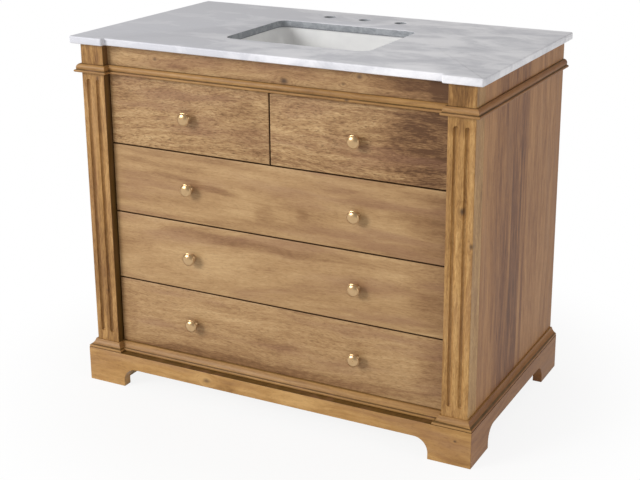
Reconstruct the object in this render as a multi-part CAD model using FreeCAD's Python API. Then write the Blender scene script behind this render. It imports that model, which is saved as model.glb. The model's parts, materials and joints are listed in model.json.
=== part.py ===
import FreeCAD, Part
import math
import os

# Bathroom vanity, in millimetres. X is the width, the front faces -Y and Z is up.
# The origin is on the floor, under the centre of the stone top.

V = FreeCAD.Vector

# Overall size
overall_width = 1067.0
overall_depth = 610.0
overall_height = 902.0

# Shared clearances
cut_overrun = 5.0
drawer_gap = 3.0          # round the drawer fronts
slide_play = 0.3          # between the telescoping members
floor_play = 2.0          # hidden blocks stay off the floor

# Stone top
top_thickness = 18.0
top_side_overhang = 20.0
top_front_overhang = 17.0
top_corner_length = 95.0  # deep ends of the front edge
top_step_depth = 13.0
top_corner_radius = 5.0
top_edge_ease = 2.0
basin_opening_width = 384.0
basin_front_margin = 150.0
basin_back_margin = 174.0
basin_opening_radius = 26.0
faucet_spread = 203.2
faucet_hole_diameter = 32.0
faucet_back_margin = 79.0

# Basin
basin_rim_width = 24.0
basin_rim_thickness = 14.0
basin_wall = 12.0
basin_reveal = 3.0        # basin mouth stands outside the stone's edge
basin_depth = 150.0
basin_wall_lean = 22.0
basin_floor_round = 40.0
drain_diameter = 45.0
drain_seat_diameter = 64.0
drain_seat_depth = 3.0
clip_width = 20.0
clip_thickness = 3.0
clip_foot = 24.0
clip_bite = 8.0
clip_spacing = 230.0

# Case
pilaster_width = 65.0
pilaster_depth = 50.0
pilaster_edge_round = 1.5
face_recess = 18.0        # drawer faces stand behind the pilasters
side_thickness = 18.0
rear_post_depth = 45.0
frieze_height = 50.0
rail_thickness = 20.0
floor_thickness = 18.0
back_thickness = 12.0
back_rail_height = 70.0
divider_height = 20.0
divider_depth = 50.0
partition_thickness = 15.0
partition_play = 4.0      # between the basin rim and the partitions
runner_rail_height = 60.0
corner_block_side = 60.0
corner_block_height = 20.0
plumbing_width = 400.0
plumbing_height = 250.0
plumbing_bottom = 440.0

# Flutes in the pilasters
flute_spacing = 27.0
flute_width = 12.0
flute_depth = 4.5
flute_end_margin = 24.0
flute_nose = 8.5          # taper at each end of a flute

# Cornice moulding
cornice_height = 20.5
cornice_projection = 14.0
cornice_bead = 6.0
cornice_quirk = 2.0
cornice_quirk_depth = 4.5
cornice_top_projection = 3.0

# Base moulding
base_mould_height = 21.0
base_mould_projection = 16.5
base_mould_band = 6.0
base_mould_top_projection = 4.0
base_mould_quirk = 1.5

# Plinth
plinth_height = 90.0
plinth_projection = 17.0
plinth_thickness = 24.0
plinth_clearance = 51.0   # floor to the underside of the apron
plinth_cove_radius = 35.0
front_foot_length = 107.0
side_foot_length = 111.0
rear_foot_length = 90.0
cleat_size = 24.0
foot_block_size = 60.0

# Drawers
row_count = 4
front_thickness = 20.0
front_edge_round = 1.5
stop_gap = 1.5            # between a closed front and the rails behind it
box_thickness = 12.0
box_row_clearance = 55.6  # row height that the box leaves free
box_drop = 10.0           # box centre below the row's centre
box_base_thickness = 6.0
box_base_lift = 10.0
box_groove_depth = 6.0
tail_count = 3
tail_root_share = 0.42
tail_end_share = 0.58
notch_width = 190.0
notch_depth = 200.0

# Telescopic slides
slide_thickness = 12.7
slide_height = 45.0
slide_rear_clearance = 71.0
slide_gauge = 1.2
slide_lip = 8.0
slide_setback = 2.0       # behind the back of the drawer front

# Knobs
knob_projection = 27.0
knob_head_radius = 15.5
knob_neck_radius = 5.5
knob_collar_radius = 9.5
knob_collar_height = 2.0
knob_ring_height = 2.5
knob_head_height = 12.0
knob_sides = 28           # narrow flats stand for the turned surface

# Planes that the pieces share
top_half = overall_width / 2
back_y = overall_depth / 2
top_front_y = -overall_depth / 2
top_under_z = overall_height - top_thickness
case_half = top_half - top_side_overhang
pilaster_front_y = top_front_y + top_front_overhang
pilaster_back_y = pilaster_front_y + pilaster_depth
face_y = pilaster_front_y + face_recess
front_back_y = face_y + front_thickness
rail_front_y = front_back_y + stop_gap
opening_half = case_half - pilaster_width
side_inner = case_half - side_thickness
back_inner_y = back_y - back_thickness
back_rail_y = back_inner_y - rail_thickness
rear_post_y = back_y - rear_post_depth
cornice_top_z = top_under_z - frieze_height
cornice_bottom_z = cornice_top_z - cornice_height
opening_bottom_z = plinth_height + base_mould_height
row_pitch = (cornice_bottom_z - opening_bottom_z) / row_count
box_height = row_pitch - box_row_clearance
basin_opening_depth = overall_depth - basin_front_margin - basin_back_margin
basin_y = back_y - basin_back_margin - basin_opening_depth / 2
partition_inner = basin_opening_width / 2 + basin_rim_width + partition_play
partition_outer = partition_inner + partition_thickness
slide_front_y = front_back_y + slide_setback
slide_length = back_rail_y - slide_front_y - slide_rear_clearance
plinth_front_y = pilaster_front_y - plinth_projection
plinth_half = case_half + plinth_projection

parts = {}


def block(x0, x1, y0, y1, z0, z1):
    return Part.makeBox(x1 - x0, y1 - y0, z1 - z0, V(x0, y0, z0))


def prism(points, direction):
    """Solid from a closed outline of straight sides."""
    return Part.Face(Part.makePolygon(points + points[:1])).extrude(direction)


def rounded_outline(half_x, half_y, radius, x, y, z):
    """Closed wire: a rectangle with round corners."""
    edges = []
    corners = [(1, 1), (-1, 1), (-1, -1), (1, -1)]
    starts = []
    for sx, sy in corners:
        centre = V(x + sx * (half_x - radius), y + sy * (half_y - radius), z)
        flat = [V(sx * radius, 0, 0), V(0, sy * radius, 0)]
        if sx * sy < 0:
            flat.reverse()
        mid = V(sx, sy, 0) * (radius / math.sqrt(2))
        starts.append((centre + flat[0], centre + mid, centre + flat[1]))
    for i, (first, mid, last) in enumerate(starts):
        edges.append(Part.Arc(first, mid, last).toShape())
        edges.append(Part.makeLine(last, starts[(i + 1) % len(starts)][0]))
    return Part.Wire(edges)


def rounded_slab(half_x, half_y, radius, x, y, z0, z1):
    wire = rounded_outline(half_x, half_y, radius, x, y, z0)
    return Part.Face(wire).extrude(V(0, 0, z1 - z0))


def mirrored(shape):
    return shape.mirror(V(0, 0, 0), V(1, 0, 0))


def both_sides(shapes):
    return [*shapes, *[mirrored(s) for s in shapes]]


def edges_where(shape, test):
    return [e for e in shape.Edges if test(e)]


def add(name, *solids):
    parts[name] = Part.makeCompound(list(solids)) if len(solids) > 1 else solids[0]


# Stone top and basin

def top_outline():
    """Front edge steps out over the pilasters, and every outer corner is softened."""
    inner = top_half - top_corner_length
    step_y = top_front_y + top_step_depth
    r = top_corner_radius
    soft = r / math.sqrt(2)
    right = [
        Part.makeLine(V(top_half, back_y, 0), V(top_half, top_front_y + r, 0)),
        Part.Arc(V(top_half, top_front_y + r, 0),
                 V(top_half - r + soft, top_front_y + r - soft, 0),
                 V(top_half - r, top_front_y, 0)).toShape(),
        Part.makeLine(V(top_half - r, top_front_y, 0), V(inner + r, top_front_y, 0)),
        Part.Arc(V(inner + r, top_front_y, 0),
                 V(inner + r - soft, top_front_y + r - soft, 0),
                 V(inner, top_front_y + r, 0)).toShape(),
        Part.makeLine(V(inner, top_front_y + r, 0), V(inner, step_y, 0)),
    ]
    left = [mirrored(e) for e in right]
    front = Part.makeLine(V(inner, step_y, 0), V(-inner, step_y, 0))
    back = Part.makeLine(V(-top_half, back_y, 0), V(top_half, back_y, 0))
    return Part.Wire(Part.__sortEdges__([*right, front, *left, back]))


def make_top():
    stone = Part.Face(top_outline()).extrude(V(0, 0, top_thickness))
    rims = edges_where(stone, lambda e: abs(e.BoundBox.ZLength) < top_edge_ease
                       and e.BoundBox.YMin < back_y - top_edge_ease)
    stone = stone.makeChamfer(top_edge_ease, rims)
    stone.translate(V(0, 0, top_under_z))
    stone = stone.cut(rounded_slab(basin_opening_width / 2, basin_opening_depth / 2, basin_opening_radius,
                                   0, basin_y, top_under_z - cut_overrun, overall_height + cut_overrun))
    for x in (-faucet_spread / 2, 0, faucet_spread / 2):
        hole = Part.makeCylinder(faucet_hole_diameter / 2, top_thickness + 2 * cut_overrun,
                                 V(x, back_y - faucet_back_margin, top_under_z - cut_overrun))
        stone = stone.cut(hole)
    add("marble_top", stone)


def basin_taper(low_x, low_y, high_x, high_y, floor_z, high_z):
    """Upside-down frustum, from its half sizes at the two levels."""
    solid = Part.makeWedge(-low_x, floor_z, -low_y, -high_y, -high_x, low_x, high_z, low_y, high_y, high_x)
    solid.rotate(V(0, 0, 0), V(1, 0, 0), 90)
    solid.translate(V(0, basin_y, 0))
    return solid


def bowl(offset, high_z, floor_z, corner_radius, floor_round):
    """Leaning walls with round corners, met by two troughs that round the floor's edges."""
    halves = []
    for z in (floor_z, high_z):
        inset = basin_wall_lean * (top_under_z - z) / basin_depth - basin_reveal - offset
        halves.append((basin_opening_width / 2 - inset, basin_opening_depth / 2 - inset))
    (low_x, low_y), (high_x, high_y) = halves
    solid = basin_taper(low_x, low_y, high_x, high_y, floor_z, high_z)
    solid = solid.makeFillet(corner_radius, edges_where(solid, lambda e: e.BoundBox.ZLength > corner_radius))
    along_y = basin_taper(low_x, 2 * high_y, high_x, 2 * high_y, floor_z, high_z)
    low_edges = edges_where(along_y, lambda e: e.BoundBox.YLength > high_y
                            and e.BoundBox.ZMax < floor_z + basin_reveal)
    along_y = along_y.makeFillet(floor_round, low_edges)
    along_x = basin_taper(2 * high_x, low_y, 2 * high_x, high_y, floor_z, high_z)
    low_edges = edges_where(along_x, lambda e: e.BoundBox.XLength > high_x
                            and e.BoundBox.ZMax < floor_z + basin_reveal)
    along_x = along_x.makeFillet(floor_round, low_edges)
    return solid.common(along_y).common(along_x)


def make_basin():
    rim_bottom = top_under_z - basin_rim_thickness
    floor_z = top_under_z - basin_depth
    rim = rounded_slab(basin_opening_width / 2 + basin_rim_width, basin_opening_depth / 2 + basin_rim_width,
                       basin_opening_radius + basin_rim_width, 0, basin_y, rim_bottom, top_under_z)
    radius = basin_opening_radius + basin_reveal
    outside = bowl(basin_wall, rim_bottom + cut_overrun, floor_z - basin_wall, radius + basin_wall,
                   basin_floor_round + basin_wall)
    inside = bowl(0, top_under_z + cut_overrun, floor_z, radius, basin_floor_round)
    drain = Part.makeCylinder(drain_diameter / 2, basin_wall + 2 * cut_overrun,
                              V(0, basin_y, floor_z - basin_wall - cut_overrun))
    seat = Part.makeCylinder(drain_seat_diameter / 2, drain_seat_depth + cut_overrun,
                             V(0, basin_y, floor_z - drain_seat_depth))
    add("sink_basin", rim.fuse(outside).cut(inside).cut(drain).cut(seat).removeSplitter())


def make_clips():
    """Bent clips hold the rim up to the stone."""
    solids = []
    rim_bottom = top_under_z - basin_rim_thickness
    lower = rim_bottom - clip_thickness
    profile = [(-clip_bite, rim_bottom), (-clip_bite, lower), (clip_thickness, lower),
               (clip_thickness, top_under_z - clip_thickness), (clip_foot, top_under_z - clip_thickness),
               (clip_foot, top_under_z), (0, top_under_z), (0, rim_bottom)]
    for side in (-1, 1):
        rim_y = basin_y + side * (basin_opening_depth / 2 + basin_rim_width)
        for x in (-clip_spacing / 2, clip_spacing / 2):
            points = [V(x - clip_width / 2, rim_y + side * out, z) for out, z in profile]
            solids.append(prism(points, V(clip_width, 0, 0)))
    add("sink_clips", *solids)


# Case

def make_pilasters():
    post = block(opening_half, case_half, pilaster_front_y, pilaster_back_y, plinth_height, top_under_z)
    corners = edges_where(post, lambda e: e.BoundBox.ZLength > pilaster_depth
                          and e.BoundBox.YMax < pilaster_front_y + pilaster_edge_round)
    post = post.makeFillet(pilaster_edge_round, corners)
    radius = (flute_width ** 2 / 4 + flute_depth ** 2) / (2 * flute_depth)
    axis_y = pilaster_front_y + flute_depth - radius
    low = opening_bottom_z + flute_end_margin + flute_width / 2
    high = cornice_bottom_z - flute_end_margin - flute_width / 2
    middle = (opening_half + case_half) / 2
    for x in (middle - flute_spacing / 2, middle + flute_spacing / 2):
        cutter = Part.makeCylinder(radius, high - low, V(x, axis_y, low))
        for z, turn in ((low, -1), (high, 1)):
            cutter = cutter.fuse(Part.makeCone(radius, 0, flute_nose, V(x, axis_y, z), V(0, 0, turn)))
        post = post.cut(cutter)
    add("right_pilaster", post)
    add("left_pilaster", mirrored(post))


def make_case():
    side = block(side_inner, case_half, pilaster_back_y, rear_post_y, plinth_height, top_under_z)
    add("right_side_panel", side)
    add("left_side_panel", mirrored(side))
    rear = block(opening_half, case_half, rear_post_y, back_y, plinth_height, top_under_z)
    add("rear_posts", *both_sides([rear]))
    frieze = block(-opening_half, opening_half, face_y, rail_front_y, cornice_bottom_z, top_under_z)
    add("frieze_rail", frieze)
    bottom = block(-opening_half, opening_half, face_y, front_back_y, plinth_height, opening_bottom_z)
    add("bottom_rail", bottom)
    floor = block(-side_inner, side_inner, front_back_y, back_inner_y, plinth_height,
                  plinth_height + floor_thickness)
    for y0, y1 in ((pilaster_front_y, pilaster_back_y), (rear_post_y, back_y)):
        for post in both_sides([block(opening_half, case_half, y0, y1, 0, overall_height)]):
            floor = floor.cut(post)
    add("cabinet_floor", floor)
    dividers = []
    for row in range(1, row_count):
        z = opening_bottom_z + row * row_pitch - divider_height / 2
        dividers.append(block(-opening_half, opening_half, rail_front_y, rail_front_y + divider_depth,
                              z, z + divider_height))
    add("divider_rails", *dividers)


def make_back():
    panel = block(-opening_half, opening_half, back_inner_y, back_y, plinth_height, top_under_z)
    hole = block(-plumbing_width / 2, plumbing_width / 2, back_inner_y - cut_overrun, back_y + cut_overrun,
                 plumbing_bottom, plumbing_bottom + plumbing_height)
    add("back_panel", panel.cut(hole))
    upper = block(-opening_half, opening_half, back_rail_y, back_inner_y,
                  top_under_z - back_rail_height, top_under_z)
    floor_top = plinth_height + floor_thickness
    lower = block(-opening_half, opening_half, back_rail_y, back_inner_y, floor_top,
                  floor_top + back_rail_height)
    add("back_rails", upper, lower)
    divider_top = cornice_bottom_z - row_pitch + divider_height / 2
    partition = block(partition_inner, partition_outer, rail_front_y, back_inner_y, divider_top, top_under_z)
    add("basin_partitions", *both_sides([partition.cut(upper)]))


def make_runner_rails():
    solids = []
    for row in range(row_count):
        z = slide_z(row) - runner_rail_height / 2
        solids.append(block(opening_half, side_inner, pilaster_back_y, rear_post_y,
                            z, z + runner_rail_height))
    add("runner_rails", *both_sides(solids))


def make_corner_blocks():
    low = top_under_z - corner_block_height
    leg = corner_block_side
    solids = []
    for y, turn in ((rail_front_y, 1), (back_rail_y, -1)):
        corner = V(opening_half, y, low)
        points = [corner, corner - V(leg, 0, 0), corner + V(0, turn * leg, 0)]
        solids.append(prism(points, V(0, 0, corner_block_height)))
    add("top_corner_blocks", *both_sides(solids))


# Mouldings

def cornice_profile():
    """Closed outline of (projection, height) edges: bead, quirk and an ovolo that dies into the wall."""
    bead_r = cornice_bead / 2
    bead_x = cornice_projection - bead_r
    quirk_x = cornice_projection - cornice_quirk_depth
    shelf_z = cornice_bead + cornice_quirk
    top_x = cornice_top_projection
    swell = (V(quirk_x, 0, shelf_z) + V(top_x, 0, cornice_height)) * 0.5
    swell = swell + V(cornice_quirk, 0, cornice_quirk)
    return [
        Part.makeLine(V(0, 0, 0), V(bead_x, 0, 0)),
        Part.Arc(V(bead_x, 0, 0), V(cornice_projection, 0, bead_r), V(bead_x, 0, cornice_bead)).toShape(),
        Part.makeLine(V(bead_x, 0, cornice_bead), V(quirk_x, 0, cornice_bead)),
        Part.makeLine(V(quirk_x, 0, cornice_bead), V(quirk_x, 0, shelf_z)),
        Part.Arc(V(quirk_x, 0, shelf_z), swell, V(top_x, 0, cornice_height)).toShape(),
        Part.makeLine(V(top_x, 0, cornice_height), V(0, 0, cornice_height)),
        Part.makeLine(V(0, 0, cornice_height), V(0, 0, 0)),
    ]


def base_profile():
    """Closed outline of (projection, height) edges: square band, quirk and a hollow slope."""
    band_x = base_mould_projection
    quirk_x = base_mould_projection - base_mould_quirk
    top_x = base_mould_top_projection
    hollow = (V(quirk_x, 0, base_mould_band) + V(top_x, 0, base_mould_height)) * 0.5
    hollow = hollow - V(base_mould_quirk, 0, base_mould_quirk)
    return [
        Part.makeLine(V(0, 0, 0), V(quirk_x, 0, 0)),
        Part.makeLine(V(quirk_x, 0, 0), V(band_x, 0, base_mould_quirk)),
        Part.makeLine(V(band_x, 0, base_mould_quirk), V(band_x, 0, base_mould_band - base_mould_quirk)),
        Part.makeLine(V(band_x, 0, base_mould_band - base_mould_quirk), V(quirk_x, 0, base_mould_band)),
        Part.Arc(V(quirk_x, 0, base_mould_band), hollow, V(top_x, 0, base_mould_height)).toShape(),
        Part.makeLine(V(top_x, 0, base_mould_height), V(0, 0, base_mould_height)),
        Part.makeLine(V(0, 0, base_mould_height), V(0, 0, 0)),
    ]


def moulding_run(profile, projection, height, start, end, turns):
    """A run of moulding on the wall line from start to end, its outside on the right-hand side.

    turns gives each end's mitre: 1 for an outside corner, -1 for an inside one and 0 for square."""
    along = (end - start).normalize()
    out = V(along.y, -along.x, 0)
    length = (end - start).Length
    spare = projection + cut_overrun
    bar = Part.Face(Part.Wire(profile())).extrude(V(0, length + 2 * spare, 0))
    bar.rotate(V(0, 0, 0), V(0, 0, 1), math.degrees(math.atan2(out.y, out.x)))
    bar.translate(start - along * spare)
    low = V(0, 0, start.z - cut_overrun)
    flat_start = V(start.x, start.y, 0) + low
    flat_end = V(end.x, end.y, 0) + low
    plan = [flat_start, flat_start + (out - along * turns[0]) * spare,
            flat_end + (out + along * turns[1]) * spare, flat_end]
    return bar.common(prism(plan, V(0, 0, height + 2 * cut_overrun)))


def make_mouldings(label, profile, projection, height, z):
    recess = [V(opening_half, face_y, z), V(opening_half, pilaster_front_y, z)]
    wall = [V(opening_half, pilaster_front_y, z), V(case_half, pilaster_front_y, z)]
    flank = [V(case_half, pilaster_front_y, z), V(case_half, back_y, z)]
    runs = []
    for (start, end), turns in ((recess, (-1, 1)), (wall, (1, 1)), (flank, (1, 0))):
        runs.append(moulding_run(profile, projection, height, start, end, turns))
    middle = moulding_run(profile, projection, height, V(-opening_half, face_y, z),
                          V(opening_half, face_y, z), (-1, -1))
    add(label + "_middle", middle)
    add(label + "_right", *runs)
    add(label + "_left", *[mirrored(r) for r in runs])


# Plinth

def foot_outline(length, foot_a, foot_b):
    """Bracket-foot board in its own plane: X along it from 0, Z up."""
    r = plinth_cove_radius
    spring = plinth_clearance - r
    soft = r / math.sqrt(2)
    left, right = foot_a, length - foot_b
    return [
        Part.makeLine(V(0, 0, 0), V(left, 0, 0)),
        Part.makeLine(V(left, 0, 0), V(left, 0, spring)),
        Part.Arc(V(left, 0, spring), V(left + r - soft, 0, spring + soft),
                 V(left + r, 0, plinth_clearance)).toShape(),
        Part.makeLine(V(left + r, 0, plinth_clearance), V(right - r, 0, plinth_clearance)),
        Part.Arc(V(right - r, 0, plinth_clearance), V(right - r + soft, 0, spring + soft),
                 V(right, 0, spring)).toShape(),
        Part.makeLine(V(right, 0, spring), V(right, 0, 0)),
        Part.makeLine(V(right, 0, 0), V(length, 0, 0)),
        Part.makeLine(V(length, 0, 0), V(length, 0, plinth_height)),
        Part.makeLine(V(length, 0, plinth_height), V(0, 0, plinth_height)),
        Part.makeLine(V(0, 0, plinth_height), V(0, 0, 0)),
    ]


def foot_board(length, foot_a, foot_b):
    return Part.Face(Part.Wire(foot_outline(length, foot_a, foot_b))).extrude(V(0, plinth_thickness, 0))


def make_plinth():
    t = plinth_thickness
    front = foot_board(2 * plinth_half, front_foot_length, front_foot_length)
    front.translate(V(-plinth_half, plinth_front_y, 0))
    low = V(0, 0, -cut_overrun)
    tall = V(0, 0, plinth_height + 2 * cut_overrun)
    plan = [V(-plinth_half, plinth_front_y, 0) + low, V(plinth_half, plinth_front_y, 0) + low,
            V(plinth_half - t, plinth_front_y + t, 0) + low, V(-plinth_half + t, plinth_front_y + t, 0) + low]
    add("plinth_front", front.common(prism(plan, tall)))
    length = back_y - plinth_front_y
    side = foot_board(length, side_foot_length, side_foot_length)
    side.rotate(V(0, 0, 0), V(0, 0, 1), 90)
    side.translate(V(plinth_half, plinth_front_y, 0))
    plan = [V(plinth_half, plinth_front_y, 0) + low, V(plinth_half, back_y, 0) + low,
            V(plinth_half - t, back_y, 0) + low, V(plinth_half - t, plinth_front_y + t, 0) + low]
    side = side.common(prism(plan, tall))
    add("plinth_right", side)
    add("plinth_left", mirrored(side))
    inner = plinth_half - t
    back = foot_board(2 * inner, rear_foot_length, rear_foot_length)
    back.translate(V(-inner, back_y - t, 0))
    add("plinth_back", back)


def make_plinth_blocks():
    inner = plinth_half - plinth_thickness
    front = plinth_front_y + plinth_thickness
    back = back_y - plinth_thickness
    size = foot_block_size
    feet = [block(inner - size, inner, front, front + size, floor_play, plinth_height),
            block(inner - size, inner, back - size, back, floor_play, plinth_height)]
    add("foot_blocks", *both_sides(feet))
    low = plinth_height - cleat_size
    across = inner - size
    cleats = both_sides([block(inner - cleat_size, inner, front + size, back - size, low, plinth_height)])
    cleats.append(block(-across, across, front, front + cleat_size, low, plinth_height))
    cleats.append(block(-across, across, back - cleat_size, back, low, plinth_height))
    add("plinth_cleats", *cleats)


# Drawers

def row_bottom(row):
    """Rows count down from the top, from 0."""
    return cornice_bottom_z - (row + 1) * row_pitch


def box_bottom(row):
    return row_bottom(row) + row_pitch / 2 - box_drop - box_height / 2


def slide_z(row):
    return box_bottom(row) + box_height / 2


def tails(x0, x1, y_root, y_end, z0):
    """Dovetails of one corner, wider at their ends, one above another."""
    pitch = box_height / tail_count
    root, end = pitch * tail_root_share / 2, pitch * tail_end_share / 2
    solids = []
    for i in range(tail_count):
        z = z0 + (i + 0.5) * pitch
        points = [V(x0, y_root, z - root), V(x0, y_end, z - end),
                  V(x0, y_end, z + end), V(x0, y_root, z + root)]
        solids.append(prism(points, V(x1 - x0, 0, 0)))
    return Part.makeCompound(solids)


def box_boards(x0, x1, y0, y1, z0):
    """Two sides, inner front and back, dovetailed at the four corners."""
    t = box_thickness
    z1 = z0 + box_height
    sides = [block(x0, x0 + t, y0, y1, z0, z1), block(x1 - t, x1, y0, y1, z0, z1)]
    ends = [block(x0, x1, y0, y0 + t, z0, z1), block(x0, x1, y1 - t, y1, z0, z1)]
    for i, (left, right) in enumerate(((x0, x0 + t), (x1 - t, x1))):
        for j, (root, end) in enumerate(((y0 + t, y0), (y1 - t, y1))):
            corner = block(left, right, min(root, end), max(root, end), z0, z1)
            set_of_tails = tails(left, right, root, end, z0)
            sides[i] = sides[i].cut(corner.cut(set_of_tails))
            ends[j] = ends[j].cut(set_of_tails)
    return [*sides, *ends]


def make_box(name, x0, x1, row, notched):
    y0 = front_back_y
    y1 = slide_front_y + slide_length
    z0 = box_bottom(row)
    t = box_thickness
    boards = box_boards(x0, x1, y0, y1, z0)
    base_z = z0 + box_base_lift
    grow = box_groove_depth
    inset = t - grow
    base = block(x0 + inset, x1 - inset, y0 + inset, y1 - inset, base_z, base_z + box_base_thickness)
    if notched:
        half = notch_width / 2
        mouth_y = y1 - notch_depth
        gap = block(-half, half, mouth_y, y1 + cut_overrun, z0 - cut_overrun, z0 + box_height + cut_overrun)
        back = boards.pop()
        boards += [s for s in back.cut(gap).Solids]
        for side in (-1, 1):
            near, far = side * half, side * (half + t)
            boards.append(block(min(near, far), max(near, far), mouth_y, y1 - t, z0, z0 + box_height))
        boards.append(block(-half - t, half + t, mouth_y - t, mouth_y, z0, z0 + box_height))
        base = base.cut(block(-half - inset, half + inset, mouth_y - inset, y1,
                              z0 - cut_overrun, z0 + box_height))
    boards = [b.cut(base) for b in boards]
    add(name + "_box", *boards)
    add(name + "_base", base)


def make_front(name, x0, x1, row, knob_places):
    z0 = row_bottom(row) + drawer_gap / 2
    z1 = row_bottom(row) + row_pitch - drawer_gap / 2
    board = block(x0, x1, face_y, front_back_y, z0, z1)
    rim = edges_where(board, lambda e: e.BoundBox.YMax < face_y + front_edge_round)
    board = board.makeChamfer(front_edge_round, rim)
    add(name + "_front", board)
    add(name + "_knobs", *[make_knob(x, (z0 + z1) / 2) for x in knob_places])


def make_knob(x, z):
    """Collar, flared neck, ringed rim and a dome, in flats about the line of its screw."""
    back = knob_projection - knob_head_height
    ring_top = back + knob_ring_height
    rise = knob_projection - ring_top
    sphere = (knob_head_radius ** 2 + rise ** 2) / (2 * rise)
    reach = math.asin(knob_head_radius / sphere)
    profile = [(knob_collar_radius, 0), (knob_collar_radius, knob_collar_height),
               (knob_neck_radius, 2 * knob_collar_height), (knob_neck_radius, back - knob_ring_height),
               (knob_head_radius, back), (knob_head_radius, ring_top)]
    for share in (3 / 4, 1 / 2, 1 / 4):
        turn = reach * share
        profile.append((sphere * math.sin(turn), knob_projection - sphere * (1 - math.cos(turn))))
    step = 2 * math.pi / knob_sides
    rings = []
    for r, out in profile:
        rings.append([V(x + r * math.cos(i * step), face_y - out, z + r * math.sin(i * step))
                      for i in range(knob_sides)])
    outlines = [rings[0], rings[-1]]
    for low, high in zip(rings, rings[1:]):
        outlines += [[low[i - 1], low[i], high[i], high[i - 1]] for i in range(knob_sides)]
    shell = Part.makeShell([Part.Face(Part.makePolygon(o + o[:1])) for o in outlines])
    shell.sewShape()
    knob = Part.Solid(shell)
    if knob.Volume < 0:
        knob.reverse()
    return knob


# Slides: profiles run out from the face that they are screwed to

def channel(web_out, lips_out, half_height, wall_x, turn, z, length):
    """A rolled channel: its web at web_out from the wall and its lips reaching to lips_out."""
    g = slide_gauge
    step = 1 if lips_out > web_out else -1
    profile = [(web_out, -half_height), (lips_out, -half_height), (lips_out, -half_height + g),
               (web_out + step * g, -half_height + g), (web_out + step * g, half_height - g),
               (lips_out, half_height - g), (lips_out, half_height), (web_out, half_height)]
    points = [V(wall_x + turn * out, slide_front_y, z + up) for out, up in profile]
    return prism(points, V(0, length, 0))


def slide_members(wall_x, turn, row):
    """Cabinet, link and drawer members of one slide: turn is the way from the wall to the drawer."""
    z = slide_z(row)
    g, play = slide_gauge, slide_play
    outer = slide_height / 2
    link = outer - g - play
    inner = link - g - play
    link_web = (slide_thickness - slide_lip) / 2
    cabinet = channel(0, slide_lip, outer, wall_x, turn, z, slide_length)
    middle = channel(link_web, link_web + slide_lip, link, wall_x, turn, z, slide_length)
    drawer = channel(slide_thickness, slide_thickness - slide_lip + g + play, inner, wall_x, turn, z,
                     slide_length)
    return cabinet, middle, drawer


def drawer_list():
    """Name, front's two ends, the walls that its slides are screwed to, row and knob places."""
    half = drawer_gap / 2
    reach = opening_half - drawer_gap
    knob = opening_half / 2
    rows = [("top_left_drawer", -reach, -half, -opening_half, -partition_outer, 0, [-knob]),
            ("top_right_drawer", half, reach, partition_outer, opening_half, 0, [knob])]
    for row, name in enumerate(("second_drawer", "third_drawer", "bottom_drawer"), start=1):
        rows.append((name, -reach, reach, -opening_half, opening_half, row, [-knob, knob]))
    return rows


def make_drawers():
    cabinet_members = []
    for name, x0, x1, wall0, wall1, row, knob_places in drawer_list():
        make_front(name, x0, x1, row, knob_places)
        make_box(name, wall0 + slide_thickness, wall1 - slide_thickness, row, name == "second_drawer")
        left = slide_members(wall0, 1, row)
        right = slide_members(wall1, -1, row)
        cabinet_members += [left[0], right[0]]
        add(name + "_links", left[1], right[1])
        add(name + "_runners", left[2], right[2])
    add("slide_cabinet_members", *cabinet_members)


def main():
    os.makedirs("parts", exist_ok=True)
    make_top()
    make_basin()
    make_clips()
    make_pilasters()
    make_case()
    make_back()
    make_runner_rails()
    make_corner_blocks()
    make_mouldings("cornice", cornice_profile, cornice_projection, cornice_height, cornice_bottom_z)
    make_mouldings("base_moulding", base_profile, base_mould_projection, base_mould_height, plinth_height)
    make_plinth()
    make_plinth_blocks()
    make_drawers()
    for name, shape in parts.items():
        shape.exportStep(os.path.join("parts", name + ".step"))
    print(len(parts), "nodes,", sum(len(s.Solids) for s in parts.values()), "solids")


main()
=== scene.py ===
import math

import bpy
from mathutils import Matrix, Vector
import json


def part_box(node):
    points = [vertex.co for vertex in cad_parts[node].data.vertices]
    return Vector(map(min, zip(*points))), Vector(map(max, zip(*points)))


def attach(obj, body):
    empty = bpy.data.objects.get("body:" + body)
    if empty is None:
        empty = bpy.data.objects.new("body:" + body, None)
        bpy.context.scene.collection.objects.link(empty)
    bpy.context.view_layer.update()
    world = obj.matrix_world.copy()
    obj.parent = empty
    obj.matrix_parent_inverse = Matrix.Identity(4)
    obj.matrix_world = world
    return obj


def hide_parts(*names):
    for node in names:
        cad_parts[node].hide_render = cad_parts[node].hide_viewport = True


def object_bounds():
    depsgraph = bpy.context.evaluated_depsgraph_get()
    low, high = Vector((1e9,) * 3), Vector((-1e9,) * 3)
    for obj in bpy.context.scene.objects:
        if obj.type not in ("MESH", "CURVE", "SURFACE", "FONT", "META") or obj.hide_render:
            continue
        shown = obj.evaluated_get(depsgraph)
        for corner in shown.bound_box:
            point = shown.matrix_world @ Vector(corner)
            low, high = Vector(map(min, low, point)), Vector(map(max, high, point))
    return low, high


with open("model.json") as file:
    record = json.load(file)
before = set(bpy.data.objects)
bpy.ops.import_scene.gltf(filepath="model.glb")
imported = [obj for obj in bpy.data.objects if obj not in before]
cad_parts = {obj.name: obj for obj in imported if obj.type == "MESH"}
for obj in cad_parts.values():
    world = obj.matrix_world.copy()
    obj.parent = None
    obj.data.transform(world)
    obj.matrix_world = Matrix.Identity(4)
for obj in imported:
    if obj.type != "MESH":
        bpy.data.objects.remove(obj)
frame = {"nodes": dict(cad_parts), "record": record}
cadLow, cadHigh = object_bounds()
mm = 0.001
print("frame loaded:", len(frame["nodes"]), "nodes")


# small helpers

def hexColour(text):
    # sRGB hex to the linear colour that a socket takes
    parts = [int(text[i:i + 2], 16) / 255 for i in (1, 3, 5)]
    return (*[c / 12.92 if c <= 0.04045 else ((c + 0.055) / 1.055) ** 2.4 for c in parts], 1.0)


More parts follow.
